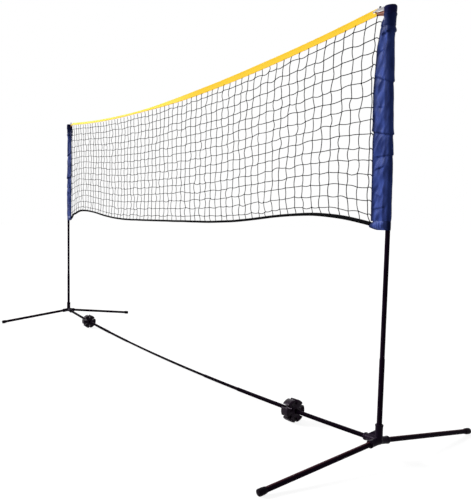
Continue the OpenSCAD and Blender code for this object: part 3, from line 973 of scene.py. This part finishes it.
def uprightLines(knots, chance):
    v = slackValues
    bowX, bowY = v["uprightBow"]
    lines = []
    for index in range(meshes + 1):
        x = stringX(index)
        top = Vector((x + leanSide(x) * v["topLean"], 0, netTop(x) + v["inTape"]))
        foot = Vector((x + leanSide(x) * v["bottomLean"], 0, netBottom(x) - v["inCord"]))
        stops = [top] + [knots[index, row] for row in range(1, knotRows + 1)] + [foot]
        line = []
        for start, end in zip(stops, stops[1:]):
            slack = Vector((chance.gauss(0, bowX), chance.gauss(0, bowY), 0))
            line += bowed(start, end, slack * min(1, (start - end).length / v["fullMesh"]))
        lines.append(line + [foot])
    return lines


def tieKnots(knots, chance):
    # one knot: a small ball pinched into two crossing wraps, then copied to every crossing
    deselectAll()
    bpy.ops.mesh.primitive_uv_sphere_add(segments=8, ring_count=6, radius=slackValues["knotSize"])
    knot = bpy.context.object
    for vertex in knot.data.vertices:
        turn = atan2(vertex.co.z, vertex.co.x)
        vertex.co *= 1 + 0.22 * cos(4 * turn)
        vertex.co.y *= 0.8
    shape = [vertex.co.copy() for vertex in knot.data.vertices]
    faces = sorted(tuple(face.vertices) for face in knot.data.polygons)
    bpy.data.objects.remove(knot)
    points, walls = [], []
    for place in knots.values():
        swing, twist = chance.uniform(-0.5, 0.5), chance.uniform(-0.5, 0.5)
        turn = Matrix.Rotation(swing, 3, "Y") @ Matrix.Rotation(twist, 3, "Z")
        size = chance.uniform(0.85, 1.15)
        first = len(points)
        points += [place + turn @ (co * size) for co in shape]
        walls += [tuple(first + corner for corner in face) for face in faces]
    mesh = bpy.data.meshes.new("netKnots")
    mesh.from_pydata(points, [], walls)
    balls = addObject("netKnots", mesh)
    smooth(balls, 80)
    finishPiece(balls, "right_mast", "netTwine")


def makeNetting():
    chance = random.Random(23)
    knots = placeKnots()
    strings = {"knottedRows": (rowLines, "net_rows"), "knottedUprights": (uprightLines, "net_uprights")}
    for name, (linesOf, node) in strings.items():
        piece = stringCurve(name, linesOf(knots, chance), slackValues["twine"])
        smooth(piece, 60)
        finishPiece(piece, "right_mast", "netTwine", [node])
    tieKnots(knots, chance)


sleeveValues = {
    "reach": [(1.5160, 0.0225), (1.4990, 0.0345), (1.4750, 0.0440), (1.4490, 0.0490), (1.4240, 0.0555),
              (1.3980, 0.0600), (1.3716, 0.0625), (1.3450, 0.0655), (1.3190, 0.0685), (1.2657, 0.0745),
              (1.1300, 0.0760), (0.8320, 0.0745)],
    # height, radius of the loose round of cloth, and how far its centre is from the pole's axis
    "round": [(1.5160, 0.0222, 0), (1.4990, 0.0190, 0.0007), (1.4830, 0.0175, 0.0013),
              (1.4660, 0.0190, 0.0007), (1.4530, 0.0185, 0.0013), (1.4340, 0.0155, 0.0026),
              (1.3800, 0.0150, 0.0029), (1.3000, 0.0142, 0.0037), (1.2000, 0.0135, 0.0038),
              (0.9400, 0.0132, 0.0036), (0.8600, 0.0122, 0.0028), (0.8320, 0.0106, 0.0010)],
    "width": {"right": 1.0, "left": 0.80},
    "flatWidth": {"right": 0.185, "left": 0.158},
    "flatHeight": 0.70,
    "lower": {"right": 0, "left": 0.008},
    "seed": {"right": 3.1, "left": 7.7},
    "edgeRadius": 0.0042,
    "top": 1.5170,
    "bottom": 0.8320,
    "around": 84,
    "down": 400,
    "cloth": 0.0007,
    "clearOfPole": 0.0092,
}


def sleeveReach(z, side):
    return between(sleeveValues["reach"], z) * sleeveValues["width"][side]


makeNetting()
print("netting knotted")


# ---- bottom cord

cordValues = {
    "radius": 0.0056,
    "rings": 420,
    "sides": 14,
    "wobble": 0.0022,
    "overlap": 0.004,
    # the cord is whipped with twine near its ends: its radius there, and where that starts and is full
    "endRadius": 0.0074,
    "whippedFrom": 1.10,
    "whippedOver": 0.25,
    # a small loose curl near the left end: place, half width and height
    "curl": (-1.475, 0.028, 0.006),
}


def cordCentre(x):
    curlX, curlWidth, curlHeight = cordValues["curl"]
    waver = noise.noise(Vector((x * 9, 0.3, 2.7))) * cordValues["wobble"]
    curl = curlHeight * bell((x - curlX) / curlWidth)
    return Vector((x, waver * 0.8 - 0.6 * curl, cordZ(x) + waver * 0.5 + curl))


def makeBottomCord():
    v = cordValues
    end = halfLength + netValues["cordTail"] + v["overlap"]

    def centre(share):
        return cordCentre(-end + 2 * end * share)

    def pointAt(u, w):
        middle = centre(u)
        ahead = (centre(min(1, u + 0.001)) - centre(max(0, u - 0.001))).normalized()
        sideways = ahead.cross(Vector((0, 0, 1))).normalized()
        upward = sideways.cross(ahead)
        angle = 2 * pi * w
        whipped = clamp((abs(middle.x) - v["whippedFrom"]) / v["whippedOver"])
        radius = mixed(v["radius"], v["endRadius"], whipped)
        return middle + radius * (cos(angle) * sideways + sin(angle) * upward)

    cord = wrappedGrid("bottomCord", v["rings"], v["sides"], pointAt, (2 * end, 1.0))
    mergeDoubles(cord)
    closeEnds(cord)
    turnOutwards(cord)
    smooth(cord, 60)
    finishPiece(cord, "right_mast", "braidedCord", ["bottom_cord"])


makeBottomCord()
print("bottom cord laid")


# ---- top tape: a woven strip folded over the head line and stitched

bandValues = {
    "height": 0.0285,
    "halfThick": 0.0013,
    "foldRadius": 0.0021,
    "cloth": 0.0006,
    "stations": 372,
    "profile": 22,
    "ripple": 0.0011,
    # how far each upright string pulls the lower edge down
    "pull": 0.0005,
    "end": 1.5098,
    # the ends reach further at the lower edge and at the fold, over a short length
    "endOver": 0.0042,
    "endSlope": 0.0125,
    "endLength": 0.02,
    # towards the left end the slack tape leans over, in degrees
    "lean": 50,
    "leanFrom": 0.45,
    "leanTo": -0.35,
    # towards the right end it is gathered to a lower height
    "gather": 0.13,
    "gatherFrom": 0.85,
    "gatherOver": 0.4,
}


def foldedStrip(run, straight, total, pull):
    # depth, and height above the lower edge: up the front, over the head line and down the back
    thick, fold = bandValues["halfThick"], bandValues["foldRadius"]
    if straight <= run < total - straight:
        angle = (run - straight) / fold
        return -fold * cos(angle), straight + fold * sin(angle)
    front = run < straight
    rise = run if front else total - run
    share = rise / straight
    depth = mixed(thick, fold, share ** 3)
    return -depth if front else depth, rise - pull * (1 - share)


def makeTape():
    v = bandValues
    straight = v["height"] - v["foldRadius"]
    total = 2 * straight + pi * v["foldRadius"]
    meshWidth = 2 * halfLength / meshes

    def pointAt(u, w):
        x = -v["end"] + 2 * v["end"] * u
        pull = v["pull"] * cos(2 * pi * (x + halfLength) / meshWidth)
        depth, rise = foldedStrip(w * total, straight, total, pull)
        gathered = 1 - v["gather"] * clamp((x - v["gatherFrom"]) / v["gatherOver"])
        drop = rise * gathered - v["height"] / 2
        ripple = v["ripple"] * noise.noise(Vector((x * 11, 0.7, 1.9)))
        share = clamp((v["leanFrom"] - x) / (v["leanFrom"] - v["leanTo"]))
        lean = radians(v["lean"]) * share * share * (3 - 2 * share)
        nearEnd = max(0, (abs(x) - v["end"] + v["endLength"]) / v["endLength"])
        over = nearEnd * (v["endOver"] - v["endSlope"] * (0.5 + drop / v["height"]))
        y = depth * cos(lean) + drop * sin(lean) + ripple
        z = tapeZ(x) + drop * cos(lean) - depth * sin(lean) + 0.4 * ripple
        return Vector((x + copysign(over, x), y, z))

    tape = wrappedGrid("topTape", v["stations"], v["profile"], pointAt, (2 * v["end"], total))
    turnOutwards(tape)
    thicken(tape, v["cloth"])
    smooth(tape, 50)
    finishPiece(tape, "right_mast", "yellowTape", ["top_tape"])


makeTape()
print("top tape folded")


# ---- cloth sleeves, cuffs and hems

def teardrop(share, poleRadius, edgeRadius, reach):
    # point and outward normal of a loop of cloth round the pole and the folded edge
    distance = max(0.0001, reach - edgeRadius)
    lean = acos(max(-1, min(1, (poleRadius - edgeRadius) / distance)))
    bigArc = poleRadius * (pi - lean)
    line = sqrt(max(0, distance ** 2 - (poleRadius - edgeRadius) ** 2))
    half = bigArc + line + edgeRadius * lean
    run = (share if share < 0.5 else 1 - share) * 2 * half
    facing = -1 if share < 0.5 else 1
    if run < bigArc:
        angle = run / poleRadius
        normal = Vector((cos(angle), sin(angle)))
        point = normal * poleRadius
    elif run < bigArc + line:
        normal = Vector((-cos(lean), sin(lean)))
        along = Vector((-sin(lean), -cos(lean)))
        point = normal * poleRadius + along * (run - bigArc)
    else:
        angle = lean - (run - bigArc - line) / edgeRadius
        normal = Vector((-cos(angle), sin(angle)))
        point = Vector((-distance, 0)) + normal * edgeRadius
    return Vector((point.x, facing * point.y)), Vector((normal.x, facing * normal.y))


# depth of the dents, and how closely they follow each other across the slant, outwards and along it
pleatValues = {"slant": (0.40, 0.92), "large": (0.0064, 38, 26, 13), "small": (0.0018, 80, 58, 34)}


def pleats(place, seed):
    # soft slanting dents of slack satin, large ones and small ones
    leanX, leanZ = pleatValues["slant"]
    along = leanX * place.x + leanZ * place.z
    across = leanZ * place.x - leanX * place.z
    total = 0
    for size, shift in (("large", seed), ("small", seed * 2)):
        depth, byAcross, byY, byAlong = pleatValues[size]
        total += depth * noise.noise(Vector((across * byAcross, place.y * byY, along * byAlong + shift)))
    return total


creaseValues = {
    # height at the folded edge, height at the pole, swell above it, tuck below it, where it starts and ends
    "creases": [
        (1.486, 1.480, 0.0010, 0.0022, -0.5, 1.2),
        (1.452, 1.457, 0.0030, 0.0030, -0.5, 0.7),
        (1.400, 1.408, 0.0014, 0.0014, 0.3, 0.8),
        (1.326, 1.297, 0.0026, 0.0036, -0.3, 1.0),
        (1.222, 1.210, 0.0014, 0.0014, 0.2, 0.8),
        (1.139, 1.121, 0.0036, 0.0042, -0.5, 1.2),
        (1.050, 1.052, 0.0024, 0.0024, -0.4, 0.8),
        (1.002, 1.020, 0.0024, 0.0028, 0.1, 0.9),
        (0.930, 0.905, 0.0020, 0.0022, 0.2, 0.8),
        (0.872, 0.880, 0.0020, 0.0026, 0.0, 0.9),
    ],
    "swellLength": 0.020,
    "tuckLength": 0.014,
    "sharpness": 0.0022,
    "fadeShare": 0.2,
}


def creaseDepth(share, z):
    # share runs from 0 at the pole to 1 at the folded edge
    v = creaseValues
    depth = 0
    for edgeHeight, poleHeight, swell, tuck, start, end in v["creases"]:
        fade = max(0, min(1, (share - start) / v["fadeShare"], (end - share) / v["fadeShare"]))
        if fade == 0:
            continue
        above = z - mixed(poleHeight, edgeHeight, share)
        turn = 0.5 + 0.5 * tanh(above / v["sharpness"])
        depth += fade * turn * swell * exp(-max(0, above) / v["swellLength"])
        depth -= fade * (1 - turn) * tuck * exp(-max(0, -above) / v["tuckLength"])
    return depth


def clearOfPole(place, z):
    # the cloth stays off the pole
    axis, least = poleAxisX(z), sleeveValues["clearOfPole"]
    gap = hypot(place.x - axis, place.y)
    if gap < least:
        place.x = axis + (place.x - axis) * least / gap
        place.y *= least / gap


def makeSleeve(side, sign):
    v = sleeveValues
    radii = [(z, radius) for z, radius, offset in v["round"]]
    offsets = [(z, offset) for z, radius, offset in v["round"]]

    def pointAt(u, w):
        z = mixed(v["top"], v["bottom"] - v["lower"][side], w)
        radius, offset, reach = between(radii, z), between(offsets, z), sleeveReach(z, side)
        point, normal = teardrop(u, radius, v["edgeRadius"], reach - offset)
        place = Vector((poleAxisX(z) - offset + point.x, point.y, z))
        # slack on the flat faces, drawn tighter round the pole and along the fold
        share = (offset - point.x) / reach
        slack = max(0.2, min(1, 0.35 + 3 * share, 3.5 * (1.05 - share)))
        out = slack * pleats(place, v["seed"][side]) + creaseDepth(share, z)
        out *= max(0, min(1, (v["top"] - z) / 0.02, (1 - w) * 70))
        place += Vector((normal.x, normal.y, 0)) * out
        clearOfPole(place, z)
        return Vector((sign * place.x, place.y, z))

    size = (satin["flat"], v["top"] - v["bottom"])
    sleeve = closedCloth(f"{side}SleeveCloth", v, pointAt, size, 80)
    finishPiece(sleeve, "right_mast", "blueCloth", [f"{side}_sleeve"])


cuffValues = {
    "centre": 1.5716,
    "radius": 0.0212,
    "top": 1.5438,
    "bottom": 1.5125,
    "round": 0.0050,
    "flat": (0.134, 0.050),
    "seed": {"right": 1.2, "left": 4.4},
    "around": 64,
    "down": 30,
    "cloth": 0.0008,
    "gathers": 0.0006,
    "crumple": 0.0012,
    # a rolled lip at the lower edge: height above the edge, half width and thickness
    "lip": (0.0022, 0.0016, 0.0009),
    "waver": 0.0010,
}


def cuffProfile(run, wall, total):
    # radius and height: up the wall, round its upper edge and in over the flat top
    v = cuffValues
    turn = (run - wall) / v["round"]
    if turn < 0:
        return v["radius"], v["bottom"] + run
    if turn < pi / 2:
        radius = v["radius"] - v["round"] * (1 - cos(turn))
        return radius, v["bottom"] + wall + v["round"] * sin(turn)
    return max(0, total - run), v["top"]


def makeCuff(side, sign):
    v = cuffValues
    seed = v["seed"][side]
    wall = v["top"] - v["bottom"] - v["round"]
    total = wall + pi / 2 * v["round"] + v["radius"] - v["round"]

    def pointAt(u, w):
        angle = 2 * pi * u
        run = w * total
        radius, z = cuffProfile(run, wall, total)
        share = radius / v["radius"]
        crumple = noise.noise(Vector((cos(angle) * 1.4, sin(angle) * 1.4, z * 60 + seed)))
        fold = v["gathers"] * sin(9 * angle + seed) * max(0, 1 - run / wall) + v["crumple"] * crumple
        lipHeight, lipWidth, lip = v["lip"]
        radius += (fold + lip * bell((run - lipHeight) / lipWidth)) * share
        z += v["waver"] * sin(2 * angle + seed) * (1 if run < wall * 0.5 else 0.4 * share)
        x = v["centre"] + radius * cos(angle)
        return Vector((sign * x, radius * sin(angle), min(z, v["top"] + 0.0003)))

    cuff = closedCloth(f"{side}CuffCloth", v, pointAt, (2 * pi * v["radius"], total), 70)
    finishPiece(cuff, "right_mast", "navyCloth", [f"{side}_cuff"])


hemValues = {
    "top": 0.8335,
    "bottom": 0.8015,
    "reach": [(0.8335, 0.0660), (0.8290, 0.0655), (0.8240, 0.0740), (0.8180, 0.0815), (0.8110, 0.0810),
              (0.8070, 0.0680), (0.8015, 0.0460)],
    "poleRadius": 0.0094,
    "width": {"right": 1.0, "left": 0.86},
    "flatWidth": {"right": 0.185, "left": 0.165},
    "flatHeight": 0.036,
    "lower": {"right": 0, "left": 0.008},
    "seed": {"right": 5.3, "left": 9.9},
    "edgeRadius": [(0.8335, 0.0048), (0.8240, 0.0056), (0.8180, 0.0062), (0.8110, 0.0058), (0.8015, 0.0045)],
    "around": 120,
    "down": 26,
    "cloth": 0.0009,
    # the faces swell midway between the pole and the corner: place, half width and depth
    "swell": (-0.035, 0.018, 0.0042),
    "leastSwell": 0.0004,
    "gathers": 0.0011,
}


def makeHem(side, sign):
    v = hemValues
    seed = v["seed"][side]

    def pointAt(u, w):
        z = mixed(v["top"], v["bottom"], w)
        reach = between(v["reach"], z) * v["width"][side]
        point, normal = teardrop(u, v["poleRadius"], between(v["edgeRadius"], z), reach)
        place = Vector((poleAxisX(z) + point.x, point.y, z - v["lower"][side]))
        swellX, swellWidth, swell = v["swell"]
        middle = bell((point.x - swellX) / swellWidth)
        arch = sin(pi * w)
        bulge = (v["leastSwell"] + swell * middle) * arch
        bulge += clamp(-point.x / 0.02) * 0.4 * pleats(place, seed)
        bulge += v["gathers"] * middle * arch * sin(point.x * 560 + 40 * z + seed)
        return Vector((sign * (place.x + normal.x * bulge), place.y + normal.y * bulge, place.z))

    size = (satin["flat"], v["top"] - v["bottom"])
    hem = closedCloth(f"{side}HemCloth", v, pointAt, size, 60)
    finishPiece(hem, "right_mast", "hemCloth", [f"{side}_hem"])


for side, sign in sides.items():
    makeSleeve(side, sign)
    makeCuff(side, sign)
    makeHem(side, sign)
print("sleeves, cuffs and hems sewn")


# ---- patches and tie straps at the ends of the tape

patchValues = {
    "start": 1.5080,
    "end": 1.5515,
    # heights of the lower and upper edge at the tape and at the cuff
    "tapeSide": (1.5265, 1.5390),
    "cuffSide": (1.5155, 1.5385),
    "pinch": 0.0020,
    "ripple": 0.0016,
    "y": 0.0008,
    "flatHeight": 0.020,
    "woven": (0.067, 0.022),
    "columns": 14,
    "rows": 14,
    "thickness": 0.0016,
}
strapValues = {
    # x, height and width at the tape and at the cuff
    "tapeSide": (1.4985, 1.5400, 0.0042),
    "cuffSide": (1.5520, 1.5420, 0.0100),
    "arch": 0.0022,
    "y": -0.0031,
    "woven": (0.078, 0.008),
    "columns": 30,
    "rows": 6,
    "thickness": 0.0011,
}


def makePatch(side, sign):
    v = patchValues

    def pointAt(u, w):
        low, high = (mixed(v["tapeSide"][edge], v["cuffSide"][edge], u) for edge in (0, 1))
        pinch = v["pinch"] * sin(pi * u)
        y = v["ripple"] * sin(3.2 * pi * w) * sin(pi * u) + v["y"]
        return Vector((sign * mixed(v["start"], v["end"], u), y, mixed(low + pinch, high - pinch, w)))

    patch = shortStrip(f"{side}TapePatch", v, pointAt)
    finishPiece(patch, "right_mast", "brownPatch", [f"{side}_tape_patch"])


def makeStrap(side, sign):
    v = strapValues
    (startX, startZ, startWidth), (endX, endZ, endWidth) = v["tapeSide"], v["cuffSide"]

    def pointAt(u, w):
        width = mixed(startWidth, endWidth, min(1, u * 1.6))
        z = mixed(startZ, endZ, u) + v["arch"] * sin(pi * u) + (w - 0.5) * width
        y = v["y"] - 0.0012 * sin(pi * u) + 0.0006 * sin(2 * pi * w)
        return Vector((sign * mixed(startX, endX, u), y, z))

    strap = shortStrip(f"{side}TieStrap", v, pointAt)
    finishPiece(strap, "right_mast", "whiteWebbing", [f"{side}_tie_strap"])


for side, sign in sides.items():
    makePatch(side, sign)
    makeStrap(side, sign)
print("straps and patches sewn")
